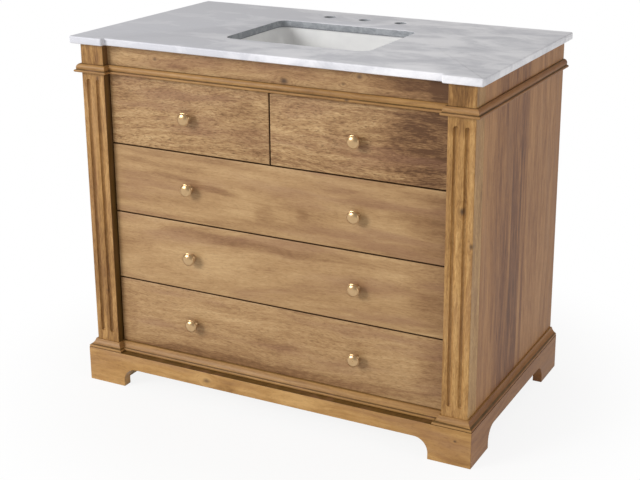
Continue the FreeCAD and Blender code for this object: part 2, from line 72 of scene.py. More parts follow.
def addNode(tree, kind, settings=None, values=None, links=None):
    node = tree.nodes.new(kind)
    for key, value in (settings or {}).items():
        setattr(node, key, value)
    for key, value in (values or {}).items():
        node.inputs[key].default_value = value
    for key, source in (links or {}).items():
        tree.links.new(source, node.inputs[key])
    return node


def newFinish(name):
    # a material with its node tree, its shader, and the object coordinates that its patterns follow
    material = bpy.data.materials.new(name)
    material.use_nodes = True
    tree = material.node_tree
    return material, tree, tree.nodes["Principled BSDF"], addNode(tree, "ShaderNodeTexCoord").outputs["Object"]


def setStops(ramp, stops, blend="LINEAR"):
    ramp.interpolation = blend
    while len(ramp.elements) < len(stops):
        ramp.elements.new(1.0)
    for element, (at, colour) in zip(ramp.elements, stops):
        element.position = at
        element.color = hexColour(colour) if isinstance(colour, str) else (colour, colour, colour, 1.0)


def only(piece):
    bpy.ops.object.select_all(action="DESELECT")
    piece.select_set(True)
    bpy.context.view_layer.objects.active = piece


def editing(piece, on=True):
    if on:
        only(piece)
    bpy.ops.object.mode_set(mode="EDIT" if on else "OBJECT")


def pick(piece, kind, test):
    # selects the vertices, edges or faces whose middle passes the test, and goes back to edit mode
    bpy.ops.mesh.select_mode(type=kind)
    bpy.ops.mesh.select_all(action="DESELECT")
    bpy.ops.object.mode_set(mode="OBJECT")
    mesh = piece.data
    if kind == "VERT":
        for v in mesh.vertices:
            v.select = test(v.co)
    elif kind == "EDGE":
        for e in mesh.edges:
            e.select = test(mesh.vertices[e.vertices[0]].co, mesh.vertices[e.vertices[1]].co)
    else:
        for f in mesh.polygons:
            f.select = test(f.center, f.normal)
    bpy.ops.object.mode_set(mode="EDIT")


def addModifier(piece, kind, settings):
    only(piece)
    modifier = piece.modifiers.new(kind.title(), kind)
    for key, value in settings.items():
        setattr(modifier, key, value)
    bpy.ops.object.modifier_apply(modifier=modifier.name)


def settle(piece, angle=32):
    # place, turn and size go into the mesh, and gentle angles are shaded smooth
    only(piece)
    bpy.ops.object.transform_apply(location=True, rotation=True, scale=True)
    bpy.ops.object.shade_smooth_by_angle(angle=math.radians(angle))


def finishPiece(piece, name, body, slot, material, *nodes):
    piece.name = name
    piece.data.name = name
    piece.data.materials.clear()
    piece.data.materials.append(material)
    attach(piece, body)
    if nodes:
        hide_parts(*nodes)
    return piece


def bodyOfNode(name):
    for body in ("top_left_drawer", "top_right_drawer", "second_drawer", "third_drawer", "bottom_drawer"):
        if name.startswith(body):
            return body + "_slide_links" if name.endswith("_links") else body
    return "cabinet"


# camera, at the photograph's angle

camera = {
    "place": (1.4426, -2.711, 1.4603),
    "right": (0.90059, 0.43463, 0.00578),
    "up": (-0.131, 0.2587, 0.95703),
    "back": (0.41446, -0.86265, 0.28992),
    "lens": 71.493,
    "shift": (-0.0859, -0.0938),
}


def makeCamera():
    bpy.ops.object.camera_add()
    cam = bpy.context.object
    cam.name = "photoCamera"
    turn = Matrix((camera["right"], camera["up"], camera["back"])).transposed().to_4x4()
    cam.matrix_world = Matrix.Translation(Vector(camera["place"])) @ turn
    cam.data.lens = camera["lens"]
    cam.data.sensor_width = 36
    cam.data.shift_x, cam.data.shift_y = camera["shift"]
    bpy.context.scene.camera = cam


# floor, white surround and lamps

studio = {
    "floorSize": 40.0,
    "floorColour": "#F1F0EE",
    "shadowShare": 0.13,          # how much of the floor's shadow the camera sees
    "shadowReach": (0.5, 1.0),   # metres from the middle where the paper fades to plain white
    "worldColour": "#FFFDFA",
    "worldStrength": 0.50,
    "keyPlace": (-4.4, -5.7, 3.7),
    "keySize": 2.9,
    "keyPower": 415,
    "fillPlace": (4.2, -1.0, 1.5),
    "fillSize": 2.0,
    "fillPower": 20,
}


def makeStudio():
    bpy.ops.mesh.primitive_plane_add(size=studio["floorSize"], location=(0, 0, 0))
    floor = bpy.context.object
    floor.name = "studioFloor"
    paint, tree, matte, spot = newFinish("matteBackdropPaint")     # chalky roll paper: no gloss at all
    matte.inputs["Base Color"].default_value = hexColour(studio["floorColour"])
    matte.inputs["Roughness"].default_value = 0.9
    matte.inputs["Specular IOR Level"].default_value = 0.0
    rays = addNode(tree, "ShaderNodeLightPath")
    white = addNode(tree, "ShaderNodeEmission", values={"Color": (1, 1, 1, 1), "Strength": 1.0})
    seen = addNode(tree, "ShaderNodeMath", {"operation": "MAXIMUM"},
                   links={0: rays.outputs["Is Camera Ray"], 1: rays.outputs["Is Glossy Ray"]})
    away = addNode(tree, "ShaderNodeVectorMath", {"operation": "LENGTH"}, links={0: spot})
    fade = addNode(tree, "ShaderNodeMapRange", {"interpolation_type": "SMOOTHSTEP"},
                   {"From Min": studio["shadowReach"][0], "From Max": studio["shadowReach"][1],
                    "To Min": 1 - studio["shadowShare"], "To Max": 1.0}, {"Value": away.outputs["Value"]})
    share = addNode(tree, "ShaderNodeMath", {"operation": "MULTIPLY"}, links={0: seen.outputs[0], 1: fade.outputs[0]})
    mixed = addNode(tree, "ShaderNodeMixShader",
                    links={0: share.outputs[0], 1: matte.outputs[0], 2: white.outputs[0]})
    tree.links.new(mixed.outputs[0], tree.nodes["Material Output"].inputs["Surface"])
    floor.data.materials.append(paint)

    world = bpy.data.worlds.new("whiteStudio")
    bpy.context.scene.world = world
    world.use_nodes = True
    tree = world.node_tree
    sky = tree.nodes["Background"]
    sky.inputs["Color"].default_value = hexColour(studio["worldColour"])
    sky.inputs["Strength"].default_value = studio["worldStrength"]
    plain = addNode(tree, "ShaderNodeBackground", values={"Color": (1, 1, 1, 1), "Strength": 1.0})
    rays = addNode(tree, "ShaderNodeLightPath")
    seen = addNode(tree, "ShaderNodeMath", {"operation": "MAXIMUM"},
                   links={0: rays.outputs["Is Camera Ray"], 1: rays.outputs["Is Transmission Ray"]})
    mixed = addNode(tree, "ShaderNodeMixShader",
                    links={0: seen.outputs[0], 1: sky.outputs[0], 2: plain.outputs[0]})
    tree.links.new(mixed.outputs[0], tree.nodes["World Output"].inputs["Surface"])

    for name in ("key", "fill"):
        place = Vector(studio[name + "Place"])
        bpy.ops.object.light_add(type="AREA", location=place)
        lamp = bpy.context.object
        lamp.name = name + "Softbox"
        lamp.data.size = studio[name + "Size"]
        lamp.data.energy = studio[name + "Power"]
        lamp.rotation_euler = (place - Vector((0, 0, 0.45))).to_track_quat("Z", "Y").to_euler()


makeCamera()
makeStudio()
bpy.context.scene.view_settings.view_transform = "Standard"
print("camera and studio ready")


# wood: solid hardwood boards, planed, stained golden brown and sprayed with a satin lacquer, which
# leaves a soft low sheen. Every board is its own cut, with its own heart line, figure and knots.
# After the turn, the grain runs along X. Sizes and places are in metres.

alongX = (0, 0, 0)
alongY = (0, 0, -math.pi / 2)
alongZ = (0, math.pi / 2, 0)

evenStain = ("#5A3A1F", "#896541", "#A9865C", "#C6A578")
goldenStain = ("#543414", "#865F31", "#AA804A", "#CCA369")
reddishStain = ("#4E2B10", "#774820", "#986633", "#B58147")
# a near-black stain used as painted shade in creases and recesses
shadedStain = ("#2A1906", "#493111", "#64481E", "#7D5D2B")
rawTimber = ("#A98A63", "#C6A97E", "#D9BF97", "#E6D1AC")

boardStain = {
    "colours": evenStain,
    "redder": "#8A634A",          # purplish brown streaks
    "turn": alongX,
    "slope": 0.0,                 # degrees that the grain climbs across the face
    "shift": (0, 0, 0),           # which part of the log the board comes from
    "heart": (0, -0.16, 0.4),     # a point on the heart line of the log
    "lean": 0.05,                 # the heart line comes out of the face, which draws the arches
    "ring": 0.016,
    "ringShow": 0.05,
    "wander": 0.06,
    "fibreShow": 0.22,
    "dashShow": 0.10,
    "figureShow": 0.22,
    "streakShow": 0.26,
    "broadShow": 0.30,
    "rednessShow": 0.55,
    "poreShow": 0.22,
    "tone": 0.0,
    "boards": None,               # ((start, tone), ...) across a glued panel
    "knots": (),                  # ((x, y, z), radius, darkness) in the turned frame
    "patches": (),                # ((x, y, z), (length, depth, height), degrees, lighter or darker)
    "roughness": 0.5,
    "coat": 0.05,
}


def makeWood(name, changes):
    look = {**boardStain, **changes}
    material, tree, shader, place = newFinish(name)
    turn = Vector(look["turn"]) + Vector((0, math.radians(look["slope"]), 0))
    turned = addNode(tree, "ShaderNodeMapping", values={"Rotation": turn}, links={"Vector": place})
    spot = turned.outputs[0]
    tone = None
    if look["boards"]:
        # a glued panel: each board jumps to another part of the log and has its own tone
        first, last = look["boards"][0][0], look["boards"][-1][0]
        apart = addNode(tree, "ShaderNodeSeparateXYZ", links={0: spot})
        across = addNode(tree, "ShaderNodeMapRange", values={"From Min": first, "From Max": last},
                         links={"Value": apart.outputs["Y"]})
        board = addNode(tree, "ShaderNodeValToRGB", links={0: across.outputs[0]})
        setStops(board.color_ramp, [((y - first) / (last - first), t) for y, t in look["boards"][:-1]],
                 "CONSTANT")
        jump = addNode(tree, "ShaderNodeVectorMath", {"operation": "MULTIPLY"}, {1: (9.1, 2.3, 4.7)},
                       {0: board.outputs[0]})
        moved = addNode(tree, "ShaderNodeVectorMath", {"operation": "ADD"}, links={0: spot, 1: jump.outputs[0]})
        spot = moved.outputs[0]
        tone = board.outputs[0]

    # slow wander: the grain drifts sideways over a hand's length
    slow = addNode(tree, "ShaderNodeMapping", values={"Location": look["shift"], "Scale": (2.6, 9, 9)},
                   links={0: spot})
    drift = addNode(tree, "ShaderNodeTexNoise", values={"Scale": 1.0, "Detail": 3.0, "Roughness": 0.5},
                    links={"Vector": slow.outputs[0]})
    centred = addNode(tree, "ShaderNodeVectorMath", {"operation": "SUBTRACT"}, {1: (0.5, 0.5, 0.5)},
                      {0: drift.outputs["Color"]})
    sideways = addNode(tree, "ShaderNodeVectorMath", {"operation": "MULTIPLY"},
                       {1: (look["wander"], look["wander"], look["wander"])}, {0: centred.outputs[0]})
    wandered = addNode(tree, "ShaderNodeVectorMath", {"operation": "ADD"}, links={0: spot, 1: sideways.outputs[0]})
    grain = wandered.outputs[0]

    # knots: the grain parts round each one, and its heart is dark
    heart = None
    for at, radius, dark in look["knots"]:
        squeeze = addNode(tree, "ShaderNodeMapping", {"vector_type": "TEXTURE"},
                          {"Location": at, "Scale": (1.5 * radius, 4 * radius, radius)},
                          {"Vector": turned.outputs[0]})
        far = addNode(tree, "ShaderNodeVectorMath", {"operation": "LENGTH"}, links={0: squeeze.outputs[0]})
        near = addNode(tree, "ShaderNodeMapRange", {"interpolation_type": "SMOOTHERSTEP"},
                       {"From Min": 0.0, "From Max": 4.5, "To Min": 1.5 * radius, "To Max": 0.0},
                       {"Value": far.outputs["Value"]})
        swell = addNode(tree, "ShaderNodeVectorMath", {"operation": "SCALE"},
                        links={0: squeeze.outputs[0], "Scale": near.outputs[0]})
        bent = addNode(tree, "ShaderNodeVectorMath", {"operation": "SUBTRACT"}, links={0: grain, 1: swell.outputs[0]})
        grain = bent.outputs[0]
        core = addNode(tree, "ShaderNodeMapRange", {"interpolation_type": "SMOOTHSTEP"},
                       {"From Min": 0.1, "From Max": 1.4, "To Min": dark, "To Max": 0.0},
                       {"Value": far.outputs["Value"]})
        if heart:
            both = addNode(tree, "ShaderNodeMath", {"operation": "MAXIMUM"}, links={0: heart, 1: core.outputs[0]})
            heart = both.outputs[0]
        else:
            heart = core.outputs[0]

    # growth rings round the heart line, in long arches
    log = addNode(tree, "ShaderNodeMapping", {"vector_type": "TEXTURE"},
                  {"Location": look["heart"], "Rotation": (0, 0, look["lean"]), "Scale": (5, 1, 1)},
                  {"Vector": grain})
    rings = addNode(tree, "ShaderNodeTexWave", {"wave_type": "RINGS", "rings_direction": "X"},
                    {"Scale": 0.314 / look["ring"], "Distortion": 5.0, "Detail": 3.0, "Detail Scale": 0.5,
                     "Detail Roughness": 0.6}, {"Vector": log.outputs[0]})
    layers = [(rings.outputs["Fac"], look["ringShow"])]
    # fibre bundles 5 mm apart, short dashes, the cross figure of a wavy log, long streaks, broad bands
    for show, scale, detail in (("fibreShow", (9, 210, 210), 4), ("dashShow", (66, 400, 400), 3),
                                ("figureShow", (22, 60, 60), 3), ("streakShow", (3, 42, 42), 4),
                                ("broadShow", (1.7, 8, 8), 2)):
        spread = addNode(tree, "ShaderNodeMapping", values={"Location": look["shift"], "Scale": scale},
                         links={"Vector": grain})
        noise = addNode(tree, "ShaderNodeTexNoise", values={"Scale": 1.0, "Detail": detail, "Roughness": 0.6},
                        links={"Vector": spread.outputs[0]})
        layers.append((noise.outputs["Fac"], look[show]))
    total = None
    for source, weight in layers:
        values, links = {1: weight}, {0: source}
        if total is None:
            values[2] = 0.56 + look["tone"] - sum(w for _, w in layers) / 2
        else:
            links[2] = total
        step = addNode(tree, "ShaderNodeMath", {"operation": "MULTIPLY_ADD"}, values, links)
        total = step.outputs[0]
    if tone:
        step = addNode(tree, "ShaderNodeMath", {"operation": "MULTIPLY_ADD"}, {1: 0.5}, {0: tone, 2: total})
        lower = addNode(tree, "ShaderNodeMath", {"operation": "SUBTRACT"}, {1: 0.25}, {0: step.outputs[0]})
        total = lower.outputs[0]

    # lighter and darker patches, with edges that the grain draws out: most are places in the log, while the dark ones
    # at the ends of the fronts, along the frieze and at the tops of the pilasters and side panels are painted shade
    for at, size, degrees, amount in look["patches"]:
        squeeze = addNode(tree, "ShaderNodeMapping", {"vector_type": "TEXTURE"},
                          {"Location": at, "Rotation": (0, math.radians(degrees), 0), "Scale": size},
                          {"Vector": grain})
        far = addNode(tree, "ShaderNodeVectorMath", {"operation": "LENGTH"}, links={0: squeeze.outputs[0]})
        near = addNode(tree, "ShaderNodeMapRange", {"interpolation_type": "SMOOTHERSTEP"},
                       {"From Min": 0.15, "From Max": 1.0, "To Min": amount, "To Max": 0.0},
                       {"Value": far.outputs["Value"]})
        step = addNode(tree, "ShaderNodeMath", {"operation": "ADD"}, links={0: total, 1: near.outputs[0]})
        total = step.outputs[0]
    stain = addNode(tree, "ShaderNodeValToRGB", links={0: total})
    setStops(stain.color_ramp, list(zip((0.12, 0.36, 0.56, 0.84), look["colours"])))

    # purplish brown streaks along the grain
    streak = addNode(tree, "ShaderNodeMapping", values={"Scale": (3.1, 22, 22), "Location": look["shift"]},
                     links={"Vector": grain})
    streaks = addNode(tree, "ShaderNodeTexNoise", values={"Scale": 1.0, "Detail": 3.0},
                      links={"Vector": streak.outputs[0]})
    amount = addNode(tree, "ShaderNodeMapRange", {"interpolation_type": "SMOOTHSTEP"},
                     {"From Min": 0.48, "From Max": 0.74, "To Min": 0.0, "To Max": look["rednessShow"]},
                     {"Value": streaks.outputs["Fac"]})
    redder = addNode(tree, "ShaderNodeMix", {"data_type": "RGBA"}, {7: hexColour(look["redder"])},
                     {0: amount.outputs[0], 6: stain.outputs[0]})
    colour = redder.outputs[2]

    # pores: real ones are 0.2 mm wide, drawn about 2 mm wide and 10 mm long so that they show
    dash = addNode(tree, "ShaderNodeMapping", values={"Scale": (90, 430, 430)}, links={"Vector": grain})
    dashes = addNode(tree, "ShaderNodeTexNoise", values={"Scale": 1.0, "Detail": 2.0, "Roughness": 0.6},
                     links={"Vector": dash.outputs[0]})
    pores = addNode(tree, "ShaderNodeMapRange", values={"From Min": 0.52, "From Max": 0.70, "To Min": 0.0,
                                                        "To Max": look["poreShow"]},
                    links={"Value": dashes.outputs["Fac"]})
    pitted = addNode(tree, "ShaderNodeMix", {"data_type": "RGBA"}, {7: hexColour("#553818")},
                     {0: pores.outputs[0], 6: colour})
    colour = pitted.outputs[2]
    if heart:
        knotted = addNode(tree, "ShaderNodeMix", {"data_type": "RGBA"}, {7: hexColour("#3F2C22")},
                          {0: heart, 6: colour})
        colour = knotted.outputs[2]
    tree.links.new(colour, shader.inputs["Base Color"])

    gloss = addNode(tree, "ShaderNodeMapRange", values={"To Min": look["roughness"] + 0.08,
                                                        "To Max": look["roughness"] - 0.06},
                    links={"Value": total})
    tree.links.new(gloss.outputs[0], shader.inputs["Roughness"])
    relief = addNode(tree, "ShaderNodeBump", values={"Strength": 0.3, "Distance": 0.0005},
                     links={"Height": total})
    sunk = addNode(tree, "ShaderNodeBump", {"invert": True}, {"Strength": 0.3, "Distance": 0.0003},
                   {"Height": pores.outputs[0], "Normal": relief.outputs[0]})
    tree.links.new(sunk.outputs[0], shader.inputs["Normal"])
    shader.inputs["IOR"].default_value = 1.5
    shader.inputs["Specular IOR Level"].default_value = 0.3
    shader.inputs["Coat Weight"].default_value = look["coat"]
    shader.inputs["Coat Roughness"].default_value = 0.3
    return material


# the top row is cut from a log with coarse, dark pores
speckled = {"fibreShow": 0.45, "dashShow": 0.85, "figureShow": 0.3, "poreShow": 0.6, "ringShow": 0.1}
woods = {
    # on the fronts, the dark patches near x ±0.40 to ±0.45 are painted shade beside the pilasters, heavier on the
    # right; on the top right front this is partly a darker board
    "topLeftFrontWood": {**speckled, "shift": (0.3, 0.2, 0.1), "tone": -0.02, "slope": 3,
                         "heart": (-0.9, -0.2, 0.8), "lean": 0.08,
                         "patches": (((-0.40, -0.27, 0.79), (0.12, 1, 0.03), 0, -0.10),
                                     ((-0.02, -0.27, 0.73), (0.05, 1, 0.16), 0, -0.04),
                                     ((-0.18, -0.27, 0.75), (0.10, 1, 0.04), 0, 0.08))},
    "topRightFrontWood": {**speckled, "shift": (1.7, 0.1, 0.4), "tone": -0.05, "heart": (0.37, -0.25, 0.75),
                          "lean": 0.16, "ring": 0.02, "ringShow": 0.14,
                          "patches": (((0.39, -0.27, 0.73), (0.16, 1, 0.13), 0, -0.34),
                                      ((0.43, -0.27, 0.79), (0.08, 1, 0.04), 0, -0.14),
                                      ((0.41, -0.27, 0.655), (0.05, 1, 0.03), 0, -0.10),
                                      ((0.05, -0.27, 0.72), (0.16, 1, 0.07), 6, 0.07))},
    "secondFrontWood": {"shift": (2.9, 0.4, 0.9), "poreShow": 0.2, "fibreShow": 0.24, "dashShow": 0.24, "tone": 0.01,
                        "heart": (-0.40, -0.262, 0.53), "lean": 0.11, "ring": 0.034, "ringShow": 0.10, "wander": 0.03,
                        "patches": (((-0.017, -0.27, 0.513), (0.045, 1, 0.03), 0, -0.17),
                                    ((0.083, -0.27, 0.528), (0.028, 1, 0.03), 0, -0.12),
                                    ((-0.16, -0.27, 0.555), (0.10, 1, 0.014), 4, -0.22),
                                    ((-0.28, -0.27, 0.575), (0.12, 1, 0.012), 3, -0.16),
                                    ((0.45, -0.27, 0.55), (0.14, 1, 0.14), 0, -0.17),
                                    ((-0.05, -0.27, 0.60), (0.2, 1, 0.04), 0, 0.06))},
    "thirdFrontWood": {"shift": (4.1, 0.7, 0.2), "poreShow": 0.2, "fibreShow": 0.22, "dashShow": 0.30, "tone": 0.03,
                       "slope": 3, "patches": (((-0.05, -0.27, 0.435), (0.33, 1, 0.02), 5, -0.20),
                                               ((-0.42, -0.27, 0.42), (0.16, 1, 0.05), 0, -0.12),
                                               ((-0.15, -0.27, 0.38), (0.2, 1, 0.05), 4, 0.10),
                                               ((0.45, -0.27, 0.37), (0.12, 1, 0.14), 0, -0.20),
                                               ((0.2, -0.27, 0.42), (0.2, 1, 0.02), 4, -0.08))},
    "bottomFrontWood": {"shift": (5.6, 0.3, 0.6), "poreShow": 0.35, "fibreShow": 0.26, "dashShow": 0.5, "tone": 0.01,
                        "slope": 2, "patches": (((-0.1, -0.27, 0.12), (0.8, 1, 0.03), 0, -0.22),
                                                ((-0.15, -0.27, 0.235), (0.2, 1, 0.03), 3, 0.12),
                                                ((0.45, -0.27, 0.2), (0.1, 1, 0.14), 0, -0.18),
                                                ((-0.44, -0.27, 0.2), (0.07, 1, 0.14), 0, -0.12),
                                                ((0.0, -0.27, 0.19), (0.12, 1, 0.02), 4, -0.10))},
    # on the frieze, the dark patches at both ends and the broad one at the right are painted shade under the slab and
    # beside the blocks, and the narrow one at the left is a painted shadow line at the joint
    "friezeWood": {"shift": (6.3, 0.9, 0.3), "streakShow": 0.5, "fibreShow": 0.4, "figureShow": 0.35, "slope": 2,
                   "knots": (((-0.400, -0.27, 0.846), 0.006, 0.75), ((-0.28, -0.27, 0.869), 0.004, 0.6),
                             ((0.070, -0.27, 0.840), 0.007, 0.85), ((0.261, -0.27, 0.861), 0.005, 0.7),
                             ((0.22, -0.27, 0.842), 0.003, 0.5)),
                   "dashShow": 0.5, "poreShow": 0.4,
                   "patches": (((0.43, -0.27, 0.85), (0.22, 1, 0.06), 0, -0.30),
                               ((-0.4485, -0.27, 0.85), (0.012, 1, 0.2), 0, -0.75),
                               ((0.4485, -0.27, 0.85), (0.04, 1, 0.2), 0, -0.22),
                               ((-0.22, -0.27, 0.858), (0.05, 1, 0.012), 8, -0.2),
                               ((0.1, -0.27, 0.85), (0.1, 1, 0.016), 0, -0.16))},
    "corniceWood": {"colours": goldenStain, "shift": (7.9, 0.2, 0.8), "ring": 0.009, "tone": -0.08,
                    "knots": (((0.206, -0.284, 0.818), 0.004, 0.7),)},
    "baseMouldingWood": {"colours": goldenStain, "shift": (8.4, 0.6, 0.1), "ring": 0.009, "tone": -0.05,
                         "rednessShow": 0.2},
    "plinthWood": {"colours": goldenStain, "shift": (9.2, 0.4, 0.5), "tone": 0.04, "figureShow": 0.3,
                   "knots": (((-0.173, -0.305, 0.069), 0.007, 0.6), ((0.491, -0.305, 0.0615), 0.003, 0.8)),
                   "patches": (((-0.20, -0.305, 0.07), (0.05, 1, 0.02), 0, 0.10),
                               ((-0.12, -0.305, 0.068), (0.05, 1, 0.02), 0, -0.14),
                               ((0.08, -0.305, 0.07), (0.10, 1, 0.03), 0, 0.12),
                               ((-0.5, -0.305, 0.04), (0.09, 1, 0.06), 0, -0.06),
                               ((0.5, -0.305, 0.02), (0.08, 1, 0.02), 0, -0.12))},
    "shadedWood": {"colours": shadedStain, "turn": alongZ, "shift": (1.9, 0.3, 0.7)},
    "sideRunWood": {"colours": reddishStain, "tone": -0.03, "turn": alongY, "shift": (1.1, 0.5, 0.9)},
    # on the pilasters, the dark patches at height 0.86 are painted shade under the slab
    "leftPilasterWood": {"colours": goldenStain, "turn": alongZ, "shift": (2.3, 0.8, 0.4), "heart": (0.4, -0.2, 0.6),
                         "tone": -0.05, "streakShow": 0.5, "fibreShow": 0.6, "dashShow": 0.5, "rednessShow": 0.25,
                         "poreShow": 0.3,
                         "knots": (((0.800, -0.288, 0.468), 0.004, 0.7), ((0.25, -0.288, 0.475), 0.003, 0.5)),
                         "patches": (((0.70, -0.288, 0.49), (0.12, 1, 0.04), 0, 0.08),
                                     ((0.35, -0.288, 0.48), (0.20, 1, 0.05), 0, -0.08),
                                     ((0.86, -0.288, 0.48), (0.04, 1, 0.05), 0, -0.08))},
    "rightPilasterWood": {"colours": goldenStain, "turn": alongZ, "shift": (3.6, 0.1, 0.7),
                          "heart": (0.4, -0.2, -0.3),
                          "streakShow": 0.5, "fibreShow": 0.6, "dashShow": 0.5, "rednessShow": 0.3, "poreShow": 0.3,
                          "knots": (((0.603, -0.288, -0.487), 0.006, 0.85), ((0.526, -0.288, -0.510), 0.005, 0.75),
                                    ((0.62, -0.2, -0.513), 0.003, 0.6)),
                          "patches": (((0.86, -0.288, -0.48), (0.055, 1, 0.06), 0, -0.30),
                                      ((0.79, -0.288, -0.48), (0.03, 1, 0.05), 0, -0.16),
                                      ((0.60, -0.288, -0.458), (0.2, 1, 0.012), 0, -0.16))},
    # on the side panels, the dark band at height 0.86 is painted shade under the slab; the thin bands across are
    # board joints
    "sidePanelWood": {"colours": reddishStain, "redder": "#855C3C", "turn": alongZ, "shift": (4.8, 0.2, 0.5),
                      "rednessShow": 0.3,
                      "streakShow": 0.75, "fibreShow": 0.55, "broadShow": 0.4, "dashShow": 0.2,
                      "patches": (((0.86, 0, -0.5), (0.05, 3, 3), 0, -0.34),
                                  ((0.5, 0.032, -0.5), (2, 0.008, 3), 0, 0.2),
                                  ((0.5, -0.137, -0.5), (2, 0.006, 3), 0, -0.3),
                                  ((0.5, -0.232, -0.5), (2, 0.012, 3), 0, -0.35)),
                      "boards": ((-0.24, 0.55), (-0.135, 0.27), (-0.045, 0.2), (0.022, 0.5), (0.04, 0.34),
                                 (0.058, 0.62), (0.262, 0.0))},
    "rearPostWood": {"colours": reddishStain, "turn": alongZ, "shift": (5.4, 0.6, 0.2), "tone": 0.03},
    "innerWood": {"colours": ("#3A2414", "#5B3D24", "#755233", "#8C6743"), "shift": (6.9, 0.1, 0.3), "coat": 0.0,
                  "roughness": 0.62},
    "boxWood": {"turn": alongY, "shift": (7.4, 0.3, 0.9), "colours": rawTimber, "redder": "#C0A078",
                "rednessShow": 0.3, "poreShow": 0.12, "coat": 0.0, "roughness": 0.55},
    "boxEndWood": {"turn": alongX, "shift": (3.4, 1.3, 0.9), "colours": rawTimber, "redder": "#C0A078",
                   "rednessShow": 0.3, "poreShow": 0.12, "coat": 0.0, "roughness": 0.55},
    # the ends are end grain, which takes more stain, but these edges are painted far darker than that: painted shade
    # of the gaps between the fronts
    "gapShadeEdgeWood": {"colours": ("#24150A", "#3A2412", "#4A3019", "#5A3C20"), "shift": (2.1, 0.7, 0.3),
                        "poreShow": 0.1, "rednessShow": 0.0, "coat": 0.0, "roughness": 0.6},
}
wood = {name: makeWood(name, changes) for name, changes in woods.items()}
print("wood finishes:", len(wood))


# Carrara marble, sawn and polished: a pale blue-grey ground with soft clouds and a few thin veins.
# The sawn cut-outs are left honed and mottled, and their darker grey is painted shade of the opening, with a painted
# shadow line of dark grey along their bottom.

marble = {"ground": "#F0F0F5", "cloud": "#CACBD3", "vein": "#A9ADB5", "cloudSize": 0.13, "roughness": 0.3,
          "veinShow": 0.12}
shadedSawnMarble = {"ground": "#A9ADB2", "cloud": "#858A90", "vein": "#6E7277", "cloudSize": 0.022, "roughness": 0.6,
              "veinShow": 0.5}


def makeMarble(name, look, shadowLineZ=None):
    material, tree, shader, place = newFinish(name)
    lean = addNode(tree, "ShaderNodeMapping", values={"Rotation": (0.1, 0.2, 0.6), "Scale": (1.0, 1.7, 1.4)},
                   links={"Vector": place})
    clouds = addNode(tree, "ShaderNodeTexNoise", values={"Scale": 1 / look["cloudSize"], "Detail": 7.0,
                                                         "Roughness": 0.62, "Distortion": 0.5},
                     links={"Vector": lean.outputs[0]})
    soft = addNode(tree, "ShaderNodeMapRange", {"interpolation_type": "SMOOTHSTEP"},
                   {"From Min": 0.36, "From Max": 0.68}, {"Value": clouds.outputs["Fac"]})
    # the slab greys a little towards its left end
    apart = addNode(tree, "ShaderNodeSeparateXYZ", links={0: place})
    greyer = addNode(tree, "ShaderNodeMapRange", values={"From Min": -0.45, "From Max": 0.25, "To Min": 0.8,
                                                          "To Max": 0.0},
                     links={"Value": apart.outputs["X"]})
    cloudy = addNode(tree, "ShaderNodeMath", {"operation": "ADD", "use_clamp": True},
                     links={0: soft.outputs[0], 1: greyer.outputs[0]})
    body = addNode(tree, "ShaderNodeMix", {"data_type": "RGBA"},
                   {6: hexColour(look["ground"]), 7: hexColour(look["cloud"])}, {0: cloudy.outputs[0]})
    warp = addNode(tree, "ShaderNodeTexNoise", values={"Scale": 6.0, "Detail": 5.0, "Roughness": 0.6,
                                                       "Distortion": 1.2}, links={"Vector": lean.outputs[0]})
    offset = addNode(tree, "ShaderNodeMath", {"operation": "SUBTRACT"}, {1: 0.5}, {0: warp.outputs["Fac"]})
    ridge = addNode(tree, "ShaderNodeMath", {"operation": "ABSOLUTE"}, links={0: offset.outputs[0]})
    veins = addNode(tree, "ShaderNodeMapRange", {"interpolation_type": "SMOOTHSTEP"},
                    {"From Min": 0.0, "From Max": 0.035, "To Min": look["veinShow"], "To Max": 0.0},
                    {"Value": ridge.outputs[0]})
    patchy = addNode(tree, "ShaderNodeMath", {"operation": "MULTIPLY"},
                     links={0: veins.outputs[0], 1: soft.outputs[0]})
    veined = addNode(tree, "ShaderNodeMix", {"data_type": "RGBA"}, {7: hexColour(look["vein"])},
                     {0: patchy.outputs[0], 6: body.outputs[2]})
    grit = addNode(tree, "ShaderNodeTexNoise", values={"Scale": 420.0, "Detail": 2.0},
                   links={"Vector": place})
    fine = addNode(tree, "ShaderNodeMapRange", values={"To Min": 0.0, "To Max": 0.14},
                   links={"Value": grit.outputs["Fac"]})
    crystal = addNode(tree, "ShaderNodeMix", {"data_type": "RGBA"}, {7: hexColour("#F4F4F6")},
                      {0: fine.outputs[0], 6: veined.outputs[2]})
    colour = crystal.outputs[2]
    # painted shadow: a dark grey line along the bottom of the cut-out walls, for the shade of the reveal under the
    # stone
    if shadowLineZ:
        line = addNode(tree, "ShaderNodeMapRange", {"interpolation_type": "SMOOTHSTEP"},
                       {"From Min": shadowLineZ, "From Max": shadowLineZ + 0.0035, "To Min": 0.9, "To Max": 0.0},
                       {"Value": apart.outputs["Z"]})
        shadowLined = addNode(tree, "ShaderNodeMix", {"data_type": "RGBA"}, {7: hexColour("#3E4042")},
                         {0: line.outputs[0], 6: colour})
        colour = shadowLined.outputs[2]
    tree.links.new(colour, shader.inputs["Base Color"])
    shader.inputs["Roughness"].default_value = look["roughness"]
    shader.inputs["IOR"].default_value = 1.49
    shader.inputs["Specular IOR Level"].default_value = 0.4
    return material


# Vitreous china: cast clay under a thick clear white glaze, so deep gloss with a faint unevenness

china = {"glaze": "#DEDEDF", "light": "#F1F1EF", "roughness": 0.12}


